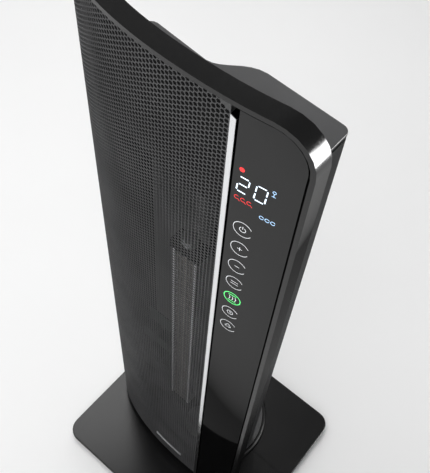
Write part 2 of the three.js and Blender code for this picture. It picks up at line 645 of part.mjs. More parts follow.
// The board lies along a chord of the front, behind the panel.
function controlBoard() {
  const [x0, x1] = [PANEL_LEFT + BOARD_SIDE, PANEL_RIGHT - BOARD_SIDE];
  const chord = faceGroup([x0, frontY(x0)], [x1, frontY(x1)]);
  tower.add(chord);
  const half = (x1 - x0) / 2;
  const y = PANEL_DEPTH + PANEL_THICKNESS + BOARD_STANDOFF;
  const board = box(-half, half, y, y + BOARD_THICKNESS, BOARD_BOTTOM, BOARD_TOP);
  add(chord, "control_board", board, boardGreen);
  const back = y - GAP;
  const z = BOARD_TOP - DISPLAY_DROP;
  const display = box(-half, DISPLAY_WIDTH - half, back - DISPLAY_THICKNESS, back, z, z + DISPLAY_HEIGHT);
  add(chord, "display_module", display, mattBlack);
}

// ---- Rear housing ----

// A window through the back face, larger all round by the gap than what fills it.
function faceWindow(width, z0, z1) {
  const half = width / 2 + GAP;
  return fromFace(backFace, box(-half, half, -WINDOW_REACH, WINDOW_REACH, z0 - GAP, z1 + GAP));
}

function rearShell() {
  const outer = prism(housingOutline(0), TOWER_BOTTOM, SHELL_TOP);
  const inner = prism(housingOutline(HOUSING_WALL), -FAR, FAR);
  const shell = cut(outer, inner, inFrontOf(HOUSING_FRONT));
  const intake = FILTER_WIDTH - 2 * INTAKE_MARGIN;
  const hole = (face, radius, x, z, sides) =>
    fromFace(face, cylinderY(radius + GAP, x, z, -WINDOW_REACH, WINDOW_REACH, sides));
  const windows = [
    faceWindow(intake, FILTER_Z + INTAKE_MARGIN, FILTER_Z + FILTER_HEIGHT - INTAKE_MARGIN),
    faceWindow(HANDLE_WIDTH, HANDLE_Z, HANDLE_Z + HANDLE_HEIGHT),
    faceWindow(SWITCH_WIDTH, SWITCH_Z - SWITCH_HEIGHT / 2, SWITCH_Z + SWITCH_HEIGHT / 2),
    hole(backFace, GLAND_RADIUS, 0, GLAND_Z, 20),
    ...screwPlaces.map(([face, x, z]) => hole(face, SCREW_SHANK, x, z, 12)),
  ];
  add(tower, "rear_shell", cut(shell, ...windows), satinBlack);
  const cap = cut(prism(housingOutline(0), CAP_Z, HOUSING_TOP), inFrontOf(HOUSING_FRONT));
  const skirt = prism(housingOutline(HOUSING_WALL + GAP), SHELL_TOP - CAP_SKIRT, CAP_Z);
  const hollow = prism(housingOutline(HOUSING_WALL + GAP + CAP_SKIRT_WALL), -FAR, FAR);
  add(tower, "rear_top_cap", cap.add(cut(skirt, hollow, inFrontOf(HOUSING_FRONT))), satinBlack);
}

const screwPlaces = [
  [backFace, -SCREW_SPREAD, SCREW_LOW_Z],
  [backFace, SCREW_SPREAD, SCREW_LOW_Z],
  [shoulderFace, -SCREW_SPREAD, HOUSING_TOP - SCREW_DROP],
  [shoulderFace, SCREW_SPREAD, HOUSING_TOP - SCREW_DROP],
];

function screws() {
  screwPlaces.forEach(([face, x, z], i) => {
    const head = cylinderY(SCREW_HEAD, 0, 0, GAP, GAP + SCREW_HEAD_HEIGHT, 16);
    const shank = cylinderY(SCREW_SHANK, 0, 0, -SCREW_LENGTH, GAP + 1, 12);
    add(face, `shell_screw_${i + 1}`, head.add(shank), zincSteel, [x, 0, z]);
  });
}

function intakeGrille() {
  const half = FILTER_WIDTH / 2 - INTAKE_MARGIN;
  const [z0, z1] = [FILTER_Z + INTAKE_MARGIN, FILTER_Z + FILTER_HEIGHT - INTAKE_MARGIN];
  const slots = [];
  const reach = half - INTAKE_RIM;
  for (let z = z0 + INTAKE_RIM + 1; z + INTAKE_SLOT < z1 - 2; z += INTAKE_PITCH) {
    slots.push(box(-reach, reach, -WINDOW_REACH, WINDOW_REACH, z, z + INTAKE_SLOT));
  }
  add(backFace, "intake_grille", cut(box(-half, half, -HOUSING_WALL, 0, z0, z1), ...slots), mattBlack);
}

function dustFilter() {
  const half = FILTER_WIDTH / 2;
  const [z0, z1] = [FILTER_Z, FILTER_Z + FILTER_HEIGHT];
  const y1 = GAP + FILTER_THICKNESS;
  const inner = half - FILTER_BORDER;
  const hole = box(-inner, inner, 0, FAR, z0 + FILTER_BORDER, z1 - FILTER_BORDER);
  const frame = cut(box(-half, half, GAP, y1, z0, z1), hole);
  const bar = FILTER_BAR / 2;
  const bars = [box(-bar, bar, GAP + 1, y1 - 1, z0 + 1, z1 - 1)];
  const pitch = FILTER_HEIGHT / (FILTER_BARS + 1);
  for (let z = z0 + pitch; z < z1 - pitch / 2; z += pitch) {
    bars.push(box(-half + 1, half - 1, GAP + 1, y1 - 1, z - bar, z + bar));
  }
  const netY = GAP + (FILTER_THICKNESS - FILTER_NETTING) / 2;
  const netting = box(-half + 1, half - 1, netY, netY + FILTER_NETTING, z0 + 1, z1 - 1);
  const [tabWidth, tabDepth, tabHeight] = FILTER_TAB;
  const tabTop = z1 - 2;
  const tab = box(-tabWidth / 2, tabWidth / 2, y1 - 0.5, y1 - 0.5 + tabDepth, tabTop - tabHeight, tabTop);
  add(backFace, "dust_filter", join(frame, ...bars, netting, tab), satinBlack);
}

function filterRails() {
  const inner = FILTER_WIDTH / 2 + RUNNING / 2;
  const outer = inner + RAIL_WIDTH;
  const lipY = GAP + FILTER_THICKNESS + RUNNING;
  const stop = FILTER_Z - GAP;
  const block = box(-outer, outer, GAP, lipY + RAIL_FRONT, stop - RAIL_STOP, FILTER_Z + FILTER_HEIGHT);
  const channel = box(-inner, inner, 0, lipY, stop, FAR);
  const reach = inner - RAIL_LIP;
  const front = box(-reach, reach, 0, FAR, stop + RAIL_STOP, FAR);
  add(backFace, "filter_rails", cut(block, channel, front), satinBlack);
}

function handleCup() {
  const [half, z0, z1] = [HANDLE_WIDTH / 2, HANDLE_Z, HANDLE_Z + HANDLE_HEIGHT];
  const outer = box(-half, half, -HANDLE_DEPTH, 0, z0, z1);
  const inner = half - HANDLE_WALL;
  const hollow = box(-inner, inner, -HANDLE_DEPTH + HANDLE_WALL, FAR, z0 + HANDLE_WALL, z1 - HANDLE_WALL);
  add(backFace, "handle_cup", cut(outer, hollow), mattBlack);
}

// The rocker is made level about its own pivot, and its mesh is then tilted to the off position.
function mainSwitch() {
  const [half, tall] = [SWITCH_WIDTH / 2, SWITCH_HEIGHT / 2];
  const [wellHalf, wellTall] = [half - SWITCH_WALL, tall - SWITCH_WALL];
  const body = box(-half, half, -SWITCH_DEPTH, SWITCH_PROUD, SWITCH_Z - tall, SWITCH_Z + tall);
  const well = box(-wellHalf, wellHalf, -SWITCH_WELL, FAR, SWITCH_Z - wellTall, SWITCH_Z + wellTall);
  add(backFace, "switch_body", cut(body, well), mattBlack);
  const [width, height] = [wellHalf - RUNNING, wellTall - ROCKER_PLAY];
  const side = shapeOf(ROCKER_SIDE.map(([share, y]) => [y, share * height]));
  const geometry = new THREE.ExtrudeGeometry(side, { depth: 2 * width, bevelEnabled: false });
  geometry.applyMatrix4(new THREE.Matrix4().makeBasis(
    new THREE.Vector3(0, 1, 0),
    new THREE.Vector3(0, 0, 1),
    new THREE.Vector3(1, 0, 0),
  ));
  geometry.translate(-width, -ROCKER_PIVOT, 0);
  const rocker = new THREE.Mesh(geometryOf(solid(geometry)), glossBlack);
  rocker.name = "power_rocker";
  rocker.position.set(0, ROCKER_PIVOT, SWITCH_Z);
  rocker.rotation.x = ROCKER_TILT / 2;
  backFace.add(rocker);
}

function cordGland() {
  const flange = cylinderY(GLAND_RADIUS + GLAND_FLANGE, 0, 0, GAP, GLAND_PROUD, 24);
  const sleeve = cylinderY(GLAND_RADIUS, 0, 0, -GLAND_REACH, GLAND_PROUD, 24);
  const bore = cylinderY(GLAND_BORE, 0, 0, -FAR, FAR, 24);
  add(backFace, "cord_gland", cut(flange.add(sleeve), bore), rubber, [0, 0, GLAND_Z]);
}

function bottomPlate() {
  const z1 = BOTTOM_PLATE_Z + BOTTOM_PLATE_THICKNESS;
  const inset = BOTTOM_PLATE_INSET;
  const front = band(inset, FRAME_DEPTH + 2, BOTTOM_PLATE_Z, z1);
  const rightTrim = box(FRAME_RIGHT_X - inset, FAR, -FAR, FAR, -FAR, FAR);
  const rear = cut(prism(housingOutline(inset), BOTTOM_PLATE_Z, z1), inFrontOf(FRAME_DEPTH));
  const holes = [
    cylinder(POST_BORE, 0, AXIS_Y, -FAR, FAR, 24),
    cylinder(SHAFT_RADIUS + RUNNING, 0, PINION_Y, -FAR, FAR, 20),
  ];
  add(tower, "bottom_plate", cut(front.add(rear), rightTrim, ...holes), satinBlack);
}

// ---- Heater and blower ----

function heaterStack() {
  const [x0, x1] = [HEATER_RIGHT_X - HEATER_WIDTH, HEATER_RIGHT_X];
  const [y0, y1] = [HEATER_FRONT_Y, HEATER_FRONT_Y + HEATER_DEPTH];
  const [z0, z1] = [WHEEL_BOTTOM - HEATER_MARGIN, WHEEL_TOP + HEATER_MARGIN];
  add(tower, "heater_rail_left", box(x0, x0 + HEATER_RAIL, y0, y1, z0, z1), aluminium);
  add(tower, "heater_rail_right", box(x1 - HEATER_RAIL, x1, y0, y1, z0, z1), aluminium);
  const [left, right] = [x0 + HEATER_RAIL + GAP, x1 - HEATER_RAIL - GAP];
  const middle = (left + right) / 2;
  const spine = FIN_SPINE / 2;
  const slots = [];
  for (let z = z0 + FIN_THICKNESS; z + FIN_PITCH - FIN_THICKNESS < z1; z += FIN_PITCH) {
    slots.push(box(left - 1, middle - spine, -FAR, 0, z, z + FIN_PITCH - FIN_THICKNESS));
    slots.push(box(middle + spine, right + 1, -FAR, 0, z, z + FIN_PITCH - FIN_THICKNESS));
  }
  const stones = cut(box(left, right, y0 + 1, y1 - 1, z0 + GAP, z1 - GAP), ...slots);
  add(tower, "heating_element", stones, ceramic);
  for (const [name, z] of [["lower", z0 - HEATER_CAP - GAP], ["upper", z1 + GAP]]) {
    const side = HEATER_CAP_SIDE;
    const cap = box(x0 - side, x1 + side, y0 - 1, y1 + 1, z, z + HEATER_CAP);
    add(tower, `heater_cap_${name}`, cap, grey);
  }
  const cutoutZ = z1 + GAP * 2 + HEATER_CAP;
  const cutout = cylinder(CUTOUT_RADIUS, middle, (y0 + y1) / 2, cutoutZ, cutoutZ + CUTOUT_HEIGHT, 24);
  add(tower, "thermal_cutout", cutout, zincSteel);
}

function blowerWheel() {
  const top = WHEEL_TOP - WHEEL_DISC;
  const disc = (z) => ring(WHEEL_SHAFT + GAP, WHEEL_RADIUS, WHEEL_X, WHEEL_Y, z, z + WHEEL_DISC, 28);
  const discs = [WHEEL_BOTTOM, (WHEEL_BOTTOM + top) / 2, top].map(disc);
  const blade = new THREE.BoxGeometry(BLADE_CHORD, BLADE_THICKNESS, WHEEL_HEIGHT - WHEEL_DISC);
  const out = WHEEL_RADIUS - BLADE_CHORD / 2 - BLADE_INSET;
  blade.rotateZ(BLADE_PITCH).translate(out, 0, (WHEEL_BOTTOM + WHEEL_TOP) / 2);
  const blades = Array.from({ length: BLADES }, (_, i) =>
    solid(blade.clone().rotateZ((i * 2 * Math.PI) / BLADES).translate(WHEEL_X, WHEEL_Y, 0)),
  );
  add(tower, "blower_wheel", join(...discs, ...blades), grey);
  const shaftBottom = SCROLL_Z - MOTOR_HEIGHT + SHAFT_CLEAR;
  const shaft = cylinder(WHEEL_SHAFT, WHEEL_X, WHEEL_Y, shaftBottom, SCROLL_TOP + SHAFT_PROUD, 20);
  add(tower, "blower_shaft", shaft, zincSteel);
}

function blowerFixings() {
  const motorTop = SCROLL_Z - GAP;
  const motorZ = motorTop - MOTOR_HEIGHT;
  const motor = cylinder(MOTOR_RADIUS, WHEEL_X, WHEEL_Y, motorZ, motorTop);
  const shaftBore = WHEEL_SHAFT + GAP;
  const bore = cylinder(shaftBore, WHEEL_X, WHEEL_Y, motorZ + MOTOR_FLOOR, FAR, 20);
  add(tower, "blower_motor", cut(motor, bore), zincSteel);
  const [z0, z1] = [SCROLL_TOP + GAP, SCROLL_TOP + BEARING_HEIGHT];
  const bearing = ring(shaftBore, BEARING_RADIUS, WHEEL_X, WHEEL_Y, z0, z1, 24);
  add(tower, "shaft_bearing", bearing, rubber);
}

// Top and bottom plates joined by the scroll wall in front of the wheel and the cut-off wall at its left.
function scroll() {
  const wall = ([from, to]) => {
    const side = (radius) => arc(WHEEL_X, WHEEL_Y, radius, Math.PI * from, Math.PI * to, SCROLL_STEPS);
    const outline = [...side(SCROLL_REACH - SCROLL_WALL), ...side(SCROLL_REACH).reverse()];
    return prism(outline, SCROLL_Z + SCROLL_PLATE / 2, SCROLL_TOP - SCROLL_PLATE / 2);
  };
  const plate = (z) => cylinder(SCROLL_REACH, WHEEL_X, WHEEL_Y, z, z + SCROLL_PLATE);
  const shaftHole = cylinder(WHEEL_SHAFT + RUNNING, WHEEL_X, WHEEL_Y, -FAR, FAR, 20);
  const walls = [wall(SCROLL_MAIN), wall(SCROLL_CUTOFF)];
  const body = cut(join(plate(SCROLL_Z), plate(SCROLL_TOP - SCROLL_PLATE), ...walls), shaftHole);
  add(tower, "scroll_housing", body, grey);
}

function electrics() {
  const wall = HOUSING_LEFT_X + HOUSING_WALL;
  const y = SHOULDER_Y - HOUSING_WALL - POWER_BOARD.behind;
  const boardX = wall + POWER_BOARD.side;
  const boardTop = POWER_BOARD.bottom + POWER_BOARD.height;
  const block = ({ side, width, bottom, height, depth }) =>
    box(boardX + side, boardX + side + width, y - depth, y + SOLDER, bottom, bottom + height);
  const board = box(boardX, boardX + POWER_BOARD.width, y, y + BOARD_THICKNESS, POWER_BOARD.bottom, boardTop);
  const relays = RELAY.sides.map((side) => block({ ...RELAY, side }));
  const { radius, z } = CAPACITOR;
  const can = cylinderY(radius, boardX + CAPACITOR.side, z, y - CAPACITOR.depth, y + SOLDER);
  add(tower, "power_board", join(board, ...relays, block(TRANSFORMER), can), boardGreen);
  const { side, width, front, depth, height } = TILT_SWITCH;
  const x = wall + side;
  const tilt = box(x, x + width, front, front + depth, TOWER_BOTTOM, TOWER_BOTTOM + height);
  add(tower, "tilt_switch", tilt, grey);
}

baseCovers();
ballastAndFeet();
plinth();
neck();
swivelDrive();
bottomPlate();
frontFrame();
backPlate();
grille();
stripAndPanel();
badge();
controlBoard();
rearShell();
screws();
intakeGrille();
dustFilter();
filterRails();
handleCup();
mainSwitch();
cordGland();
heaterStack();
blowerWheel();
blowerFixings();
scroll();
electrics();

export default heater;
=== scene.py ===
"""The looks of a ceramic tower heater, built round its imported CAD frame."""

import json
import math

import bmesh
import bpy
from mathutils import Matrix, Vector
from mathutils.bvhtree import BVHTree


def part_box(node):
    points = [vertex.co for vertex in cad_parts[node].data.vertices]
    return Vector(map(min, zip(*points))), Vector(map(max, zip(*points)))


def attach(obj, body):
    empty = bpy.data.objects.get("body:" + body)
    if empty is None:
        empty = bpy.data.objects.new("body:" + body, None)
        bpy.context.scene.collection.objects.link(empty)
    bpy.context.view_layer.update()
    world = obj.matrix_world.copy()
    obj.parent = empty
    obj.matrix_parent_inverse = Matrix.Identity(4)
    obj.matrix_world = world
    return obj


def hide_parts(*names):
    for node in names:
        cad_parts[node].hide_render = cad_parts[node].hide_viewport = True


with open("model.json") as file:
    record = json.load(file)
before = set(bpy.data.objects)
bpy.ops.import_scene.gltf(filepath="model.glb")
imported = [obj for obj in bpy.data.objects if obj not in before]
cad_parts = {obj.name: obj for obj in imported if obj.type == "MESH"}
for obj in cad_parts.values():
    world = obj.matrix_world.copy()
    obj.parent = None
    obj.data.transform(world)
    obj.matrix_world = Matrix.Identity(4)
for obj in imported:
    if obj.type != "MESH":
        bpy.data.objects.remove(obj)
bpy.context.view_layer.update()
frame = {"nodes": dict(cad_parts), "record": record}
scene = bpy.context.scene
MM = 0.001

# ---- The front curve in plan, as the CAD part has it ----

CURVE_CENTRE_X = 20 * MM
CURVE_HALF_WIDTH = 158 * MM
CURVE_FRONT_Y = -63 * MM
CURVE_DEPTH = 64 * MM
CURVE_POWER = 2.2
CURVE_RIGHT_RADIUS = 370 * MM
RIGHT_REACH = 100 * MM  # how far right of its centre the curve is followed
FRONT_DETAIL = 4000  # points along the left part of the curve, for looking places up
RIGHT_DETAIL = 1000
LEFT_CROWDING = 1.15  # brings the points closer together toward the left end


def front_points():
    """The curve from its left end to the right, as close points."""
    points = []
    for i in range(1, FRONT_DETAIL + 1):
        angle = math.pi / 2 * (i / FRONT_DETAIL) ** LEFT_CROWDING
        across = math.cos(angle) ** (2 / CURVE_POWER) if i < FRONT_DETAIL else 0.0
        forward = math.sin(angle) ** (2 / CURVE_POWER)
        y = CURVE_FRONT_Y + CURVE_DEPTH * (1 - forward)
        points.append((CURVE_CENTRE_X - CURVE_HALF_WIDTH * across, y))
    for i in range(1, RIGHT_DETAIL):
        run = i * RIGHT_REACH / RIGHT_DETAIL
        points.append((CURVE_CENTRE_X + run, CURVE_FRONT_Y + run**2 / (2 * CURVE_RIGHT_RADIUS)))
    return points


class Front:
    """Places on the curved front, by distance along it, with the outward normal."""

    def __init__(self):
        self.points = front_points()
        self.run = [0.0]
        for (ax, ay), (bx, by) in zip(self.points, self.points[1:]):
            self.run.append(self.run[-1] + math.hypot(bx - ax, by - ay))

    def _index(self, along):
        low, high = 0, len(self.run) - 2
        while low < high:
            middle = (low + high + 1) // 2
            if self.run[middle] <= along:
                low = middle
            else:
                high = middle - 1
        return low

    def at(self, along, z, depth=0.0):
        """The point that distance along the front, at height z and depth behind the face."""
        i = self._index(along)
        (ax, ay), (bx, by) = self.points[i], self.points[i + 1]
        length = self.run[i + 1] - self.run[i]
        t = (along - self.run[i]) / length
        nx, ny = -(by - ay) / length, (bx - ax) / length
        return Vector((ax + (bx - ax) * t + nx * depth, ay + (by - ay) * t + ny * depth, z))

    def along_x(self, x):
        """The distance along the front at which it stands at x."""
        low, high = 0, len(self.points) - 1
        while high - low > 1:
            middle = (low + high) // 2
            if self.points[middle][0] < x:
                low = middle
            else:
                high = middle
        return self.run[low]


front = Front()

# ---- Materials ----


def new_material(name):
    material = bpy.data.materials.new(name)
    material.use_nodes = True
    shader = material.node_tree.nodes["Principled BSDF"]
    return material, material.node_tree, shader


def noise(tree, scale, detail=3.0, roughness=0.5):
    """A noise texture in the piece's own metres."""
    place = tree.nodes.new("ShaderNodeTexCoord")
    texture = tree.nodes.new("ShaderNodeTexNoise")
    texture.inputs["Scale"].default_value = scale
    texture.inputs["Detail"].default_value = detail
    texture.inputs["Roughness"].default_value = roughness
    tree.links.new(place.outputs["Object"], texture.inputs["Vector"])
    return texture.outputs["Fac"]


def spread(tree, value, low, high, start=0.35, end=0.65):
    """value, from start to end, mapped to low to high."""
    node = tree.nodes.new("ShaderNodeMapRange")
    node.inputs["From Min"].default_value = start
    node.inputs["From Max"].default_value = end
    node.inputs["To Min"].default_value = low
    node.inputs["To Max"].default_value = high
    tree.links.new(value, node.inputs["Value"])
    return node.outputs["Result"]


def mixed(tree, value, dark, light):
    """A colour between dark and light by value."""
    node = tree.nodes.new("ShaderNodeMix")
    node.data_type = "RGBA"
    node.inputs["A"].default_value = (*dark, 1)
    node.inputs["B"].default_value = (*light, 1)
    tree.links.new(value, node.inputs["Factor"])
    return node.outputs["Result"]


def bump(tree, shader, height, distance):
    node = tree.nodes.new("ShaderNodeBump")
    node.inputs["Distance"].default_value = distance
    node.inputs["Strength"].default_value = 0.5
    tree.links.new(height, node.inputs["Height"])
    tree.links.new(node.outputs["Normal"], shader.inputs["Normal"])


def grey(level):
    return (level, level, level * 1.03)


def less_at_a_graze(tree, shader, steep, shallow, most, least):
    """Takes the shader's mirror part from most down to least, as the view goes from steep to shallow."""
    weight = tree.nodes.new("ShaderNodeLayerWeight")
    weight.inputs["Blend"].default_value = 0.5
    level = spread(tree, weight.outputs["Facing"], most, least, 1 - steep, 1 - shallow)
    tree.links.new(level, shader.inputs["Specular IOR Level"])


def moulded(name, level, rough, grain, lift=1.35, drop=0.85, graze=None):
    """Moulded plastic: its grey goes from drop to lift times level, with a fine grain of that depth."""
    material, tree, shader = new_material(name)
    patches = noise(tree, 22, 4)
    colour = mixed(tree, spread(tree, patches, 0, 1), grey(level * drop), grey(level * lift))
    tree.links.new(colour, shader.inputs["Base Color"])
    fine = noise(tree, 700, 2)
    tree.links.new(spread(tree, fine, rough * 0.88, rough * 1.15), shader.inputs["Roughness"])
    if grain:
        bump(tree, shader, noise(tree, 2600, 2), grain)
    shader.inputs["IOR"].default_value = 1.5
    if graze:
        less_at_a_graze(tree, shader, *graze)
    return material


def metal(name, colour, rough, brushed=None, streak=0.06):
    """Bare or plated metal; brushed is the stretch of its streaks, if it has any."""
    material, tree, shader = new_material(name)
    shader.inputs["Metallic"].default_value = 1.0
    place = tree.nodes.new("ShaderNodeTexCoord")
    scale = tree.nodes.new("ShaderNodeMapping")
    scale.inputs["Scale"].default_value = brushed or (1, 1, 1)
    texture = tree.nodes.new("ShaderNodeTexNoise")
    texture.inputs["Scale"].default_value = 160
    texture.inputs["Detail"].default_value = 4
    tree.links.new(place.outputs["Object"], scale.inputs["Vector"])
    tree.links.new(scale.outputs["Vector"], texture.inputs["Vector"])
    value = texture.outputs["Fac"]
    dark = tuple(c * (1 - streak * 2) for c in colour)
    shade = mixed(tree, spread(tree, value, 0, 1), dark, colour)
    tree.links.new(shade, shader.inputs["Base Color"])
    tree.links.new(spread(tree, value, rough * 0.8, rough * 1.25), shader.inputs["Roughness"])
    return material


def lit(name, colour, strength):
    """A printed mark or lamp that gives a little light of its own."""
    material, tree, shader = new_material(name)
    uneven = spread(tree, noise(tree, 900, 2), 0.8, 1.0)
    shade = mixed(tree, uneven, tuple(c * 0.6 for c in colour), colour)
    tree.links.new(shade, shader.inputs["Base Color"])
    shader.inputs["Roughness"].default_value = 0.4
    shader.inputs["Emission Color"].default_value = (*colour, 1)
    shader.inputs["Emission Strength"].default_value = strength
    return material


def circuit_board():
    """Dark green laminate with paler tracks."""
    material, tree, shader = new_material("circuit_board")
    place = tree.nodes.new("ShaderNodeTexCoord")
    tracks = tree.nodes.new("ShaderNodeTexBrick")
    tracks.inputs["Scale"].default_value = 90
    tracks.inputs["Color1"].default_value = (0.003, 0.012, 0.006, 1)
    tracks.inputs["Color2"].default_value = (0.004, 0.016, 0.008, 1)
    tracks.inputs["Mortar"].default_value = (0.012, 0.04, 0.02, 1)
    tracks.inputs["Mortar Size"].default_value = 0.03
    tree.links.new(place.outputs["Object"], tracks.inputs["Vector"])
    tree.links.new(tracks.outputs["Color"], shader.inputs["Base Color"])
    shader.inputs["Roughness"].default_value = 0.6
    shader.inputs["Specular IOR Level"].default_value = 0.2
    return material


def ceramic_stone():
    """Pale speckled ceramic."""
    material, tree, shader = new_material("heater_stone")
    speckle = noise(tree, 900, 4)
    shade = mixed(tree, spread(tree, speckle, 0, 1), (0.16, 0.15, 0.14), (0.36, 0.34, 0.31))
    tree.links.new(shade, shader.inputs["Base Color"])
    shader.inputs["Roughness"].default_value = 0.75
    bump(tree, shader, speckle, 0.0003)
    return material


def foot_rubber():
    """Dull black rubber with a little dust."""
    material, tree, shader = new_material("rubber")
    dust = noise(tree, 240, 4)
    shade = mixed(tree, spread(tree, dust, 0, 1), (0.008, 0.008, 0.008), (0.02, 0.02, 0.02))
    tree.links.new(shade, shader.inputs["Base Color"])
    tree.links.new(spread(tree, dust, 0.75, 0.92), shader.inputs["Roughness"])
    bump(tree, shader, noise(tree, 1500, 2), 0.0002)
    return material


# One finish for each material slot of the record. For moulded: grey level, roughness, grain depth in metres.
finishes = {
    "gloss_black": moulded("gloss_black", 0.0035, 0.17, 0, lift=1.2, graze=(0.4, 0.22, 0.5, 0.003)),
    "satin_black": moulded(
        "satin_black", 0.05, 0.36, 0.00004, lift=1.12, drop=0.94, graze=(0.6, 0.25, 0.5, 0.01)
    ),
    "matt_black": moulded("matt_black", 0.006, 0.6, 0.0001, graze=(0.7, 0.3, 0.3, 0.01)),
    "grille_paint": moulded("grille_paint", 0.06, 0.42, 0, lift=1.15, graze=(0.6, 0.3, 0.5, 0.03)),
    "panel_face": moulded("panel_face", 0.003, 0.04, 0, lift=1.1, graze=(0.62, 0.33, 0.42, 0.006)),
    # grey_plastic is set near black, far darker than its own grey, as painted shade for the blower parts
    # inside the tower.
    "grey_plastic": moulded("grey_plastic", 0.012, 0.6, 0.00008, graze=(0.7, 0.3, 0.2, 0.02)),
    "ballast_steel": moulded("ballast_steel", 0.025, 0.45, 0.00006),
    "nylon": moulded("nylon", 0.55, 0.45, 0.00005, lift=1.1),
    "chrome_trim": metal("chrome_trim", (0.86, 0.87, 0.88), 0.12, streak=0.01),
    "zinc_steel": metal("zinc_steel", (0.52, 0.53, 0.54), 0.38),
    "aluminium": metal("aluminium", (0.8, 0.81, 0.83), 0.3, brushed=(1, 1, 0.04)),
    "heater_stone": ceramic_stone(),
    "rubber": foot_rubber(),
    "circuit_board": circuit_board(),
}
BASE_BLACK = moulded("base_black", 0.006, 0.2, 0, lift=1.2)
# Painted shade: a near-black, dull finish that stands for the shade deep inside the tower, given in place of
# the parts' own colour.
PAINTED_SHADE_BLACK = moulded("painted_shade_black", 0.002, 0.7, 0, graze=(0.9, 0.5, 0.1, 0.01))
PLINTH_BLACK = moulded("plinth_black", 0.005, 0.35, 0, graze=(0.95, 0.5, 0.3, 0.01))
BADGE_SILVER = metal("badge_silver", (0.85, 0.86, 0.88), 0.6, streak=0.03)
RAIL_ALUMINIUM = metal("rail_aluminium", (0.9, 0.9, 0.92), 0.55, brushed=(1, 1, 0.04))
MARK_WHITE = lit("mark_white", (0.8, 0.82, 0.85), 0.5)
MARK_BLUE = lit("mark_blue", (0.45, 0.7, 1.0), 0.9)
MARK_RED = lit("mark_red", (0.9, 0.03, 0.03), 0.7)
MARK_GREEN = lit("mark_green", (0.1, 0.8, 0.2), 0.8)
DIGIT_WHITE = lit("digit_white", (0.75, 0.87, 1.0), 1.4)

# ---- Pieces from the CAD nodes ----

node_slot = {s["node"]: s["material_slot"] for s in frame["record"]["subparts"]}
node_body = {n: b for b, ns in frame["record"]["behaviour"]["bodies"].items() for n in ns}


def paint(obj, material):
    obj.data.materials.clear()
    obj.data.materials.append(material)


OWN_FINISH = {
    "base_cover_front": BASE_BLACK,
    "base_cover_rear": BASE_BLACK,
    "swivel_plinth": PLINTH_BLACK,
    "badge_bar": BADGE_SILVER,
    # Painted shade: these parts inside the tower get the near-black finish that stands for the shade they
    # sit in.
    "heater_cap_lower": PAINTED_SHADE_BLACK,
    "heater_cap_upper": PAINTED_SHADE_BLACK,
    "scroll_housing": PAINTED_SHADE_BLACK,
    "blower_wheel": PAINTED_SHADE_BLACK,
    "heater_rail_left": RAIL_ALUMINIUM,
    "heater_rail_right": RAIL_ALUMINIUM,
}

for node, obj in frame["nodes"].items():
    paint(obj, OWN_FINISH.get(node, finishes[node_slot[node]]))


WELD = 1e-6  # vertices closer than this are one
FLAT_ANGLE = math.radians(0.6)
SHARP_ANGLE = math.radians(32)


def refined(node, edge):
    """Replaces the node by its own shape with joined flats and rounded edges, edge metres wide."""
    source = frame["nodes"][node]
    mesh = source.data.copy()
    piece = bpy.data.objects.new(node + "_fine", mesh)
    scene.collection.objects.link(piece)
    made = bmesh.new()
    made.from_mesh(mesh)
    bmesh.ops.remove_doubles(made, verts=made.verts, dist=WELD)
    bmesh.ops.dissolve_limit(made, angle_limit=FLAT_ANGLE, verts=made.verts, edges=made.edges)
    made.to_mesh(mesh)
    made.free()
    mesh.shade_smooth()
    rounding = piece.modifiers.new("edges", "BEVEL")
    rounding.width = edge
    rounding.segments = 3
    rounding.limit_method = "ANGLE"
    rounding.angle_limit = SHARP_ANGLE
    rounding.use_clamp_overlap = True
    level = piece.modifiers.new("normals", "WEIGHTED_NORMAL")
    level.weight = 100
    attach(piece, node_body[node])
    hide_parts(node)
    return piece


# Nodes shown with rounded edges, and how wide, in metres.
ROUNDED = {
    "base_cover_front": 0.0003,
    "base_cover_rear": 0.0003,
    "ballast_plate": 0.0004,
    "swivel_plinth": 0.0006,
    "neck_plate": 0.0005,
    "bottom_plate": 0.0005,
    "front_frame": 0.0011,
    "back_plate": 0.0004,
    "panel_carrier": 0.0003,
    "badge_bar": 0.0003,
    "rear_shell": 0.0005,
    "rear_top_cap": 0.0009,
    "intake_grille": 0.0003,
    "dust_filter": 0.0002,
    "filter_rails": 0.0004,
    "handle_cup": 0.0007,
    "switch_body": 0.0005,
    "power_rocker": 0.0005,
    "cord_gland": 0.0005,
    "heater_cap_lower": 0.0006,
    "heater_cap_upper": 0.0006,
    "heater_rail_left": 0.0003,
    "heater_rail_right": 0.0003,
}
FOOT_EDGE = 0.0006
SCREW_EDGE = 0.0005

refined_pieces = {node: refined(node, edge) for node, edge in ROUNDED.items()}
for foot in ("front_left", "front_right", "rear_left", "rear_right"):
    refined(f"foot_{foot}", FOOT_EDGE)
for screw in range(1, 5):
    refined(f"shell_screw_{screw}", SCREW_EDGE)

OFF_FACE = 0.1 * MM  # where a test ray starts, so that it misses its own face
RAY_REACH = 300 * MM


def paint_shade_inside(piece):
    """Paints shade on the faces that look at another part of the same piece: they get a dull black that
    stands for the shade inside it.
    """
    made = bmesh.new()
    made.from_mesh(piece.data)
    tree = BVHTree.FromBMesh(made)
    made.faces.ensure_lookup_table()
    inner = []
    for face in made.faces:
        start = face.calc_center_median() + face.normal * OFF_FACE
        inner.append(tree.ray_cast(start, face.normal, RAY_REACH)[0] is not None)
    made.free()
    piece.data.materials.append(PAINTED_SHADE_BLACK)
    for face, hidden in zip(piece.data.polygons, inner):
        face.material_index = 1 if hidden else 0


# Painted shade on the inner faces of the rear shell and the back plate.
paint_shade_inside(refined_pieces["rear_shell"])
paint_shade_inside(refined_pieces["back_plate"])

# ---- Helpers for new meshes ----


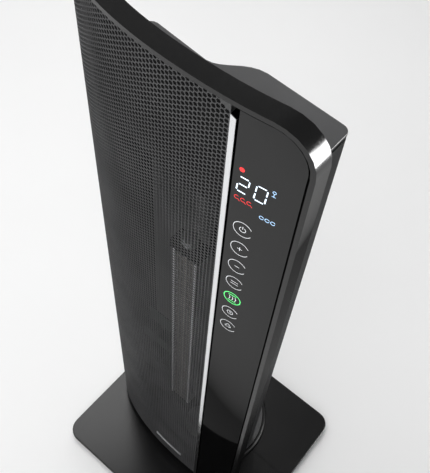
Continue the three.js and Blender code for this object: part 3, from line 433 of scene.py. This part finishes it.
def add_mesh(name, vertices, faces, material, body="tower", smooth=False):
    mesh = bpy.data.meshes.new(name)
    mesh.from_pydata([tuple(v) for v in vertices], [], faces)
    mesh.validate()
    if smooth:
        mesh.shade_smooth()
    obj = bpy.data.objects.new(name, mesh)
    scene.collection.objects.link(obj)
    paint(obj, material)
    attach(obj, body)
    return obj


def tidy_mesh(obj):
    """Joins vertices that meet, drops faces without area and turns the rest outward."""
    made = bmesh.new()
    made.from_mesh(obj.data)
    bmesh.ops.remove_doubles(made, verts=made.verts, dist=WELD)
    bmesh.ops.dissolve_degenerate(made, edges=made.edges, dist=WELD / 10)
    bmesh.ops.recalc_face_normals(made, faces=made.faces)
    made.to_mesh(obj.data)
    made.free()


# ---- The control panel and the trim strip ----

PANEL_CORNER = 25.1 * MM
PANEL_DEPTH = 1.0 * MM  # from the front curve to the panel's face
PANEL_THICKNESS = 2.5 * MM
PANEL_STEPS = 30  # along the panel's straight part, and again round its corner
STRIP_DEPTH = 8 * MM
STRIP_POINT = 2 * MM  # how much lower the strip's top is on its right
STRIP_STEPS = 4
SLAB_EDGE = 0.4 * MM


def slab(node, spots, depth, thickness, slot):
    """Replaces the node by a sheet along the exact curve; spots give x, bottom and top."""
    vertices, faces = [], []
    for x, bottom, top in spots:
        along = front.along_x(x)
        for deep in (depth, depth + thickness):
            vertices += [front.at(along, bottom, deep), front.at(along, top, deep)]
    last = 4 * (len(spots) - 1)
    for a in range(0, last, 4):
        b = a + 4
        faces += [[a, b, b + 1, a + 1], [a + 3, b + 3, b + 2, a + 2]]
        faces += [[a + 1, b + 1, b + 3, a + 3], [a + 2, b + 2, b, a]]
    faces += [[0, 1, 3, 2], [last + 2, last + 3, last + 1, last]]
    obj = add_mesh(node + "_smooth", vertices, faces, finishes[slot], smooth=True)
    rounding = obj.modifiers.new("edges", "BEVEL")
    rounding.width = SLAB_EDGE
    rounding.segments = 2
    rounding.limit_method = "ANGLE"
    rounding.harden_normals = True
    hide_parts(node)


def panel_and_strip():
    """The panel with its one rounded corner, and the strip with its slanting top."""
    low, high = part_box("control_panel")
    spots = []
    straight = high.x - PANEL_CORNER
    for i in range(PANEL_STEPS):
        spots.append((low.x + (straight - low.x) * i / PANEL_STEPS, low.z, high.z))
    for i in range(PANEL_STEPS + 1):
        turn = math.radians(90 * i / PANEL_STEPS)
        drop = PANEL_CORNER * (1 - math.cos(turn))
        spots.append((straight + PANEL_CORNER * math.sin(turn), low.z + drop, high.z - drop))
    slab("control_panel", spots, PANEL_DEPTH, PANEL_THICKNESS, "panel_face")
    low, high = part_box("trim_strip")
    spots = []
    for i in range(STRIP_STEPS + 1):
        x = low.x + (high.x - low.x) * i / STRIP_STEPS
        spots.append((x, low.z, high.z - STRIP_POINT * i / STRIP_STEPS))
    slab("trim_strip", spots, 0.0, STRIP_DEPTH, "chrome_trim")


panel_and_strip()


# ---- The dust filter's gauze ----

FILTER_LEAN = 0.0735  # how far the filter's plane falls in y for each metre of x
GAUZE_INSET = 1.5 * MM  # inside the frame's outer edges
GAUZE_HALF = 0.2 * MM  # half its thickness


def filter_gauze():
    """The fine dark gauze across the dust filter's frame, which slides with it."""
    low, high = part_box("dust_filter")
    thick = (high.y - low.y) - FILTER_LEAN * (high.x - low.x)
    left = (low.x + GAUZE_INSET, high.y - thick / 2)
    right = (high.x - GAUZE_INSET, low.y + thick / 2)
    vertices = []
    for x, y in (left, right):
        for dy in (-GAUZE_HALF, GAUZE_HALF):
            vertices += [(x, y + dy, low.z + GAUZE_INSET), (x, y + dy, high.z - GAUZE_INSET)]
    faces = [(0, 4, 5, 1), (3, 7, 6, 2), (1, 5, 7, 3), (2, 6, 4, 0), (0, 1, 3, 2), (6, 7, 5, 4)]
    body = node_body["dust_filter"]
    add_mesh("filter_gauze", vertices, faces, finishes["matt_black"], body=body)


filter_gauze()

# ---- The punched grille ----

PITCH = 3.7 * MM  # between holes up a column
COLUMN = PITCH * math.sqrt(3) / 2  # between columns
HOLE = 2.85 * MM  # across a hole's flats
FIELD_EDGE = 0.5 * MM  # plain sheet beside the trim strip
FIELD_CORNER = 8 * MM  # how the field of holes is rounded beside the strip
FIELD_TOP = 1.5 * MM  # plain sheet above and below the field beside the strip
GRILLE_FACE = 0.8 * MM  # from the front curve to the sheet's face
GRILLE_SHEET = 0.5 * MM
GRILLE_LEFT_GAP = 1.0 * MM  # between the sheet and the left end of the grille's box
GRILLE_BANDS = 3  # pieces the net is made in, one above another


class Net:
    """A sheet with six-sided holes: a net of bars, joined where three bars meet."""

    def __init__(self):
        low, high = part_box("front_grille")
        self.left = front.along_x(low.x) + GRILLE_LEFT_GAP
        self.right = front.along_x(high.x)
        self.bottom, self.top = low.z, high.z
        self.columns = int((self.right - self.left) / COLUMN) + 2
        self.rows = int((self.top - self.bottom) / PITCH) + 2
        self.first = self.right - FIELD_EDGE - HOLE / math.sqrt(3)

    def is_open(self, along, z):
        """Whether a hole's centre is in the field, which is rounded beside the trim strip."""
        dx = along - (self.right - FIELD_EDGE - FIELD_CORNER)
        dz = abs(z - (self.bottom + self.top) / 2) - (self.top - self.bottom) / 2 + FIELD_TOP + FIELD_CORNER
        if dx > 0 and dz > 0:
            return math.hypot(dx, dz) < FIELD_CORNER
        return dx < FIELD_CORNER

    def band(self, first_row, last_row):
        """The vertices and faces of the rows from first_row up to last_row."""
        vertices, faces, ring = [], [], {}
        reach = HOLE / math.sqrt(3)

        def corners(c, r):
            if (c, r) not in ring:
                along = self.first - c * COLUMN
                z = self.bottom + (r + 0.5 * (c % 2)) * PITCH
                size = reach if self.is_open(along, z) else 0.0
                spots = []
                for k in range(6):
                    a = math.radians(60 * k)
                    s = min(max(along + size * math.cos(a), self.left), self.right)
                    h = min(max(z + size * math.sin(a), self.bottom), self.top)
                    spots.append(len(vertices))
                    vertices.append(front.at(s, h, GRILLE_FACE))
                    vertices.append(front.at(s, h, GRILLE_FACE + GRILLE_SHEET))
                ring[c, r] = (spots, size > 0)
            return ring[c, r]

        def plate(loop):
            """One face on the front and its twin on the back."""
            faces.append(loop)
            faces.append([i + 1 for i in reversed(loop)])

        for c in range(-2, self.columns + 1):
            for r in range(first_row, last_row):
                spots, is_open = corners(c, r)
                up = c % 2
                above = corners(c, r + 1)[0]
                left_up = corners(c + 1, r + up)[0]
                left_down = corners(c + 1, r - 1 + up)[0]
                plate([spots[1], above[5], above[4], spots[2]])
                plate([spots[2], left_up[0], left_up[5], spots[3]])
                plate([spots[3], left_down[1], left_down[0], spots[4]])
                plate([spots[2], above[4], left_up[0]])
                plate([spots[3], left_up[5], left_down[1]])
                if is_open:
                    for k in range(6):
                        a, b = spots[k], spots[(k + 1) % 6]
                        faces.append([a, a + 1, b + 1, b])
        return vertices, faces


def grille():
    """Makes the net, in bands that each stay small enough to keep every hole."""
    net = Net()
    step = (net.rows + 2) / GRILLE_BANDS
    for i in range(GRILLE_BANDS):
        first_row, last_row = (round(k * step) - 1 for k in (i, i + 1))
        vertices, faces = net.band(first_row, last_row)
        name = f"punched_grille_{i + 1}"
        obj = add_mesh(name, vertices, faces, finishes["grille_paint"])
        tidy_mesh(obj)
        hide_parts("front_grille")


grille()

# ---- Marks printed on the control panel ----

MARK_DEPTH = 0.94 * MM  # just proud of the panel's face
MARK_THICKNESS = 0.04 * MM

# From here on, the drawing's own sizes are in millimetres.
STROKE = 0.45
DISC_SIDES = 20
ARC_STEP = 12  # degrees


class Marks:
    """Thin printed shapes on the panel's face, drawn in millimetres of x and z."""

    def __init__(self, name, material):
        self.name, self.material = name, material
        self.vertices, self.faces = [], []

    def patch(self, outline):
        """A filled shape of (x, z) points, with a very small thickness."""
        first = len(self.vertices)
        for x, z in outline:
            along = front.along_x(x * MM)
            self.vertices.append(front.at(along, z * MM, MARK_DEPTH))
        count = len(outline)
        self.faces.append([first + i for i in range(count)])
        for x, z in outline:
            along = front.along_x(x * MM)
            self.vertices.append(front.at(along, z * MM, MARK_DEPTH + MARK_THICKNESS))
        self.faces.append([first + count + i for i in reversed(range(count))])
        for i in range(count):
            j = (i + 1) % count
            self.faces.append([first + i, first + count + i, first + count + j, first + j])

    def line(self, x0, z0, x1, z1, width=STROKE):
        length = math.hypot(x1 - x0, z1 - z0)
        dx, dz = (x1 - x0) / length * width / 2, (z1 - z0) / length * width / 2
        self.patch([(x0 - dz, z0 + dx), (x0 + dz, z0 - dx), (x1 + dz, z1 - dx), (x1 - dz, z1 + dx)])

    def arc(self, x, z, radius, a0, a1, width=STROKE):
        steps = max(4, int(abs(a1 - a0) / ARC_STEP))
        for i in range(steps):
            p, q = (math.radians(a0 + (a1 - a0) * k / steps) for k in (i, i + 1))
            inner, outer = radius - width / 2, radius + width / 2
            self.patch(
                [
                    (x + outer * math.cos(p), z + outer * math.sin(p)),
                    (x + outer * math.cos(q), z + outer * math.sin(q)),
                    (x + inner * math.cos(q), z + inner * math.sin(q)),
                    (x + inner * math.cos(p), z + inner * math.sin(p)),
                ]
            )

    def disc(self, x, z, radius):
        turns = [2 * math.pi * i / DISC_SIDES for i in range(DISC_SIDES)]
        self.patch([(x + radius * math.cos(a), z + radius * math.sin(a)) for a in turns])

    def done(self):
        add_mesh(self.name, self.vertices, self.faces, self.material)


BUTTON_X = 56.2
BUTTON_TOP_Z = 629.6
BUTTON_PITCH = 22.57
RING_RADIUS = 7.3
BUTTON_SIGNS = ("power", "plus", "minus", "swing", "heat", "timer", "fan")  # from the top down
LIT_BUTTON = 4
LIT_WIDTH = 0.8
LIT_BAR_RISE = 4.2
LIT_BAR_HALF = 3.6


def glyph(marks, kind, x, z):
    """The sign inside a touch ring."""
    if kind == "power":
        marks.arc(x, z, 2.4, 120, 420)
        marks.line(x, z + 0.6, x, z + 3.4)
    elif kind == "plus":
        marks.line(x - 2, z, x + 2, z)
        marks.line(x, z - 2, x, z + 2)
    elif kind == "minus":
        marks.line(x - 2, z, x + 2, z)
    elif kind == "swing":
        marks.line(x - 3.2, z - 1.4, x + 3.2, z - 1.4)
        marks.line(x - 3.2, z + 1.4, x + 3.2, z + 1.4)
    elif kind == "heat":
        for step in (-2.6, 0, 2.6):
            marks.line(x + step, z - 2.6, x + step + 0.8, z)
            marks.line(x + step + 0.8, z, x + step, z + 2.6)
    elif kind == "timer":
        marks.arc(x, z, 2.6, 0, 360)
        marks.line(x, z, x, z + 1.8)
        marks.line(x, z, x + 1.4, z)
    elif kind == "fan":
        for turn in (90, 210, 330):
            a = math.radians(turn)
            marks.arc(x + 1.5 * math.cos(a), z + 1.5 * math.sin(a), 1.2, turn - 120, turn + 120)


def touch_marks():
    """The column of touch rings with their signs, one of them lit."""
    rings = Marks("touch_rings", MARK_WHITE)
    lit_ring = Marks("touch_ring_lit", MARK_GREEN)
    for i, kind in enumerate(BUTTON_SIGNS):
        z = BUTTON_TOP_Z - i * BUTTON_PITCH
        if i == LIT_BUTTON:
            lit_ring.arc(BUTTON_X, z, RING_RADIUS, 0, 360, LIT_WIDTH)
            for level in (z - LIT_BAR_RISE, z + LIT_BAR_RISE):
                lit_ring.line(BUTTON_X - LIT_BAR_HALF, level, BUTTON_X + LIT_BAR_HALF, level, LIT_WIDTH)
        else:
            rings.arc(BUTTON_X, z, RING_RADIUS, 30, 330)
        glyph(rings, kind, BUTTON_X, z)
    rings.done()
    lit_ring.done()


SEGMENTS = {"2": "abged", "0": "abcdef"}
FIGURES = (("2", 47.6), ("0", 60.2))  # each figure and the x of its left edge
DIGIT_WIDTH = 7.6
DIGIT_HEIGHT = 13.6
DIGIT_Z = 665.6
DIGIT_SLANT = 0.08
DIGIT_STROKE = 0.95
DIGIT_GAP = 0.9  # between a stroke's end and the figure's corner


def digits():
    """A two-figure reading in seven-segment strokes."""
    marks = Marks("display_digits", DIGIT_WHITE)
    w, h = DIGIT_WIDTH, DIGIT_HEIGHT
    strokes = {
        "a": (0, h, w, h),
        "b": (w, h, w, h / 2),
        "c": (w, h / 2, w, 0),
        "d": (0, 0, w, 0),
        "e": (0, 0, 0, h / 2),
        "f": (0, h / 2, 0, h),
        "g": (0, h / 2, w, h / 2),
    }
    for figure, x0 in FIGURES:
        for name in SEGMENTS[figure]:
            x1, z1, x2, z2 = strokes[name]
            if z1 == z2:
                x1, x2 = x1 + DIGIT_GAP, x2 - DIGIT_GAP
            else:
                shift = DIGIT_GAP if z1 > z2 else -DIGIT_GAP
                z1, z2 = z1 - shift, z2 + shift
            start = (x0 + x1 + z1 * DIGIT_SLANT, DIGIT_Z + z1)
            end = (x0 + x2 + z2 * DIGIT_SLANT, DIGIT_Z + z2)
            marks.line(*start, *end, DIGIT_STROKE)
    marks.done()


def indicators():
    """The red and blue signs round the reading, at their places in millimetres."""
    red = Marks("indicator_red", MARK_RED)
    red.disc(50.0, 685.6, 1.9)
    for x in (48.6, 53.2, 57.8):
        red.arc(x, 659.0, 1.6, 40, 320)
        red.line(x + 1.1, 657.8, x + 2.4, 656.4)
    red.done()
    blue = Marks("indicator_blue", MARK_BLUE)
    blue.arc(72.8, 680.4, 1.1, 0, 360, 0.4)
    blue.line(72.8, 676.6, 72.8, 679.2, 0.4)
    blue.line(71.4, 676.6, 74.2, 676.6, 0.4)
    for x in (67.6, 71.6, 75.6):
        blue.arc(x, 652.0, 1.5, 20, 340, 0.45)
    blue.done()


touch_marks()
digits()
indicators()

# ---- Studio ----

CAMERA_PLACE = Vector((0.188, -0.2786, 0.9855))
CAMERA_TURN = math.radians(35.07)
CAMERA_DIP = math.radians(55.21)
CAMERA_ROLL = math.radians(5.57)
CAMERA_LENS = 51.1


def camera():
    """The camera at its place, turned from looking along +Y, dipped and rolled."""
    a, e, r = CAMERA_TURN, CAMERA_DIP, CAMERA_ROLL
    right = Vector((math.cos(a), math.sin(a), 0))
    forward = Vector((-math.sin(a) * math.cos(e), math.cos(a) * math.cos(e), -math.sin(e)))
    up = right.cross(forward)
    x_axis = right * math.cos(r) + up * math.sin(r)
    y_axis = up * math.cos(r) - right * math.sin(r)
    turn = Matrix((x_axis, y_axis, -forward)).transposed().to_4x4()
    data = bpy.data.cameras.new("camera")
    data.sensor_width = 36
    data.lens = CAMERA_LENS
    data.clip_start = 0.02
    obj = bpy.data.objects.new("camera", data)
    scene.collection.objects.link(obj)
    obj.matrix_world = Matrix.Translation(CAMERA_PLACE) @ turn
    scene.camera = obj


FLOOR_REACH = 6


def floor():
    """A plain pale floor under the feet."""
    mesh = bpy.data.meshes.new("floor")
    corners = [(x * FLOOR_REACH, y * FLOOR_REACH, 0) for x, y in ((-1, -1), (1, -1), (1, 1), (-1, 1))]
    mesh.from_pydata(corners, [], [(0, 1, 2, 3)])
    obj = bpy.data.objects.new("floor", mesh)
    scene.collection.objects.link(obj)
    material, tree, shader = new_material("floor")
    shade = mixed(tree, noise(tree, 3), (0.86, 0.86, 0.86), (0.9, 0.9, 0.9))
    tree.links.new(shade, shader.inputs["Base Color"])
    shader.inputs["Roughness"].default_value = 0.9
    shader.inputs["Specular IOR Level"].default_value = 0.1
    obj.data.materials.append(material)


def area_light(name, place, target, size, power):
    """A square lamp at place that faces target."""
    data = bpy.data.lights.new(name, "AREA")
    data.shape = "RECTANGLE"
    data.size = data.size_y = size
    data.energy = power
    obj = bpy.data.objects.new(name, data)
    scene.collection.objects.link(obj)
    obj.location = place
    obj.rotation_euler = (Vector(target) - Vector(place)).to_track_quat("-Z", "Y").to_euler()
    return obj


# Lamps that light the heater but don't show in it: name, place, target, size, power.
SQUARE_LAMPS = [
    ("key_front", (0.35, -1.7, 1.9), (0, 0, 0.1), 2.2, 24),
    ("key_left", (-1.2, -0.4, 2.0), (0, 0, 0.1), 1.6, 14),
    ("fill_back", (-0.55, 0.7, 1.8), (-0.5, 0.6, 0), 1.2, 11),
]

# Soft lamps far away, which show in the gloss: direction, cosines where each ends and is full, strength.
SOFT_LAMPS = [
    ((-0.36, 0.24, 0.9), 0.98, 0.996, 3.6),
    ((-0.45, 0.83, 0.33), 0.95, 0.99, 3.0),
    ((-0.8, -0.1, 0.2), 0.6, 0.95, 0.6),
]
AMBIENT = 0.2  # the light from every direction between them
BACKDROP = 0.75  # what is seen behind the floor, in place of the lamps


def studio_light():
    """The soft lamps as the world's light, the square lamps, and one box that only shows in the gloss."""
    world = bpy.data.worlds.new("studio")
    scene.world = world
    world.use_nodes = True
    tree = world.node_tree
    background = tree.nodes["Background"]
    background.inputs["Color"].default_value = (1, 1, 1, 1)
    place = tree.nodes.new("ShaderNodeTexCoord")
    total = None
    for direction, edge, full, strength in SOFT_LAMPS:
        aim = tree.nodes.new("ShaderNodeVectorMath")
        aim.operation = "DOT_PRODUCT"
        aim.inputs[1].default_value = Vector(direction).normalized()
        tree.links.new(place.outputs["Generated"], aim.inputs[0])
        glow = tree.nodes.new("ShaderNodeMapRange")
        glow.interpolation_type = "SMOOTHERSTEP"
        glow.inputs["From Min"].default_value = edge
        glow.inputs["From Max"].default_value = full
        glow.inputs["To Max"].default_value = strength
        tree.links.new(aim.outputs["Value"], glow.inputs["Value"])
        if total is None:
            total = glow.outputs["Result"]
            continue
        both = tree.nodes.new("ShaderNodeMath")
        tree.links.new(total, both.inputs[0])
        tree.links.new(glow.outputs["Result"], both.inputs[1])
        total = both.outputs["Value"]
    lifted = tree.nodes.new("ShaderNodeMath")
    lifted.inputs[1].default_value = AMBIENT
    tree.links.new(total, lifted.inputs[0])
    seen = tree.nodes.new("ShaderNodeLightPath")
    shown = tree.nodes.new("ShaderNodeMix")
    shown.inputs["B"].default_value = BACKDROP
    tree.links.new(seen.outputs["Is Camera Ray"], shown.inputs["Factor"])
    tree.links.new(lifted.outputs["Value"], shown.inputs["A"])
    tree.links.new(shown.outputs["Result"], background.inputs["Strength"])
    for lamp in SQUARE_LAMPS:
        area_light(*lamp).visible_glossy = False
    tall_box = area_light("tall_box", (1.02, 0.7, 0.55), (0.09, -0.05, 0.55), 0.6, 30)
    tall_box.visible_diffuse = False
    tall_box.visible_camera = False


camera()
floor()
studio_light()
scene.view_settings.view_transform = "Standard"
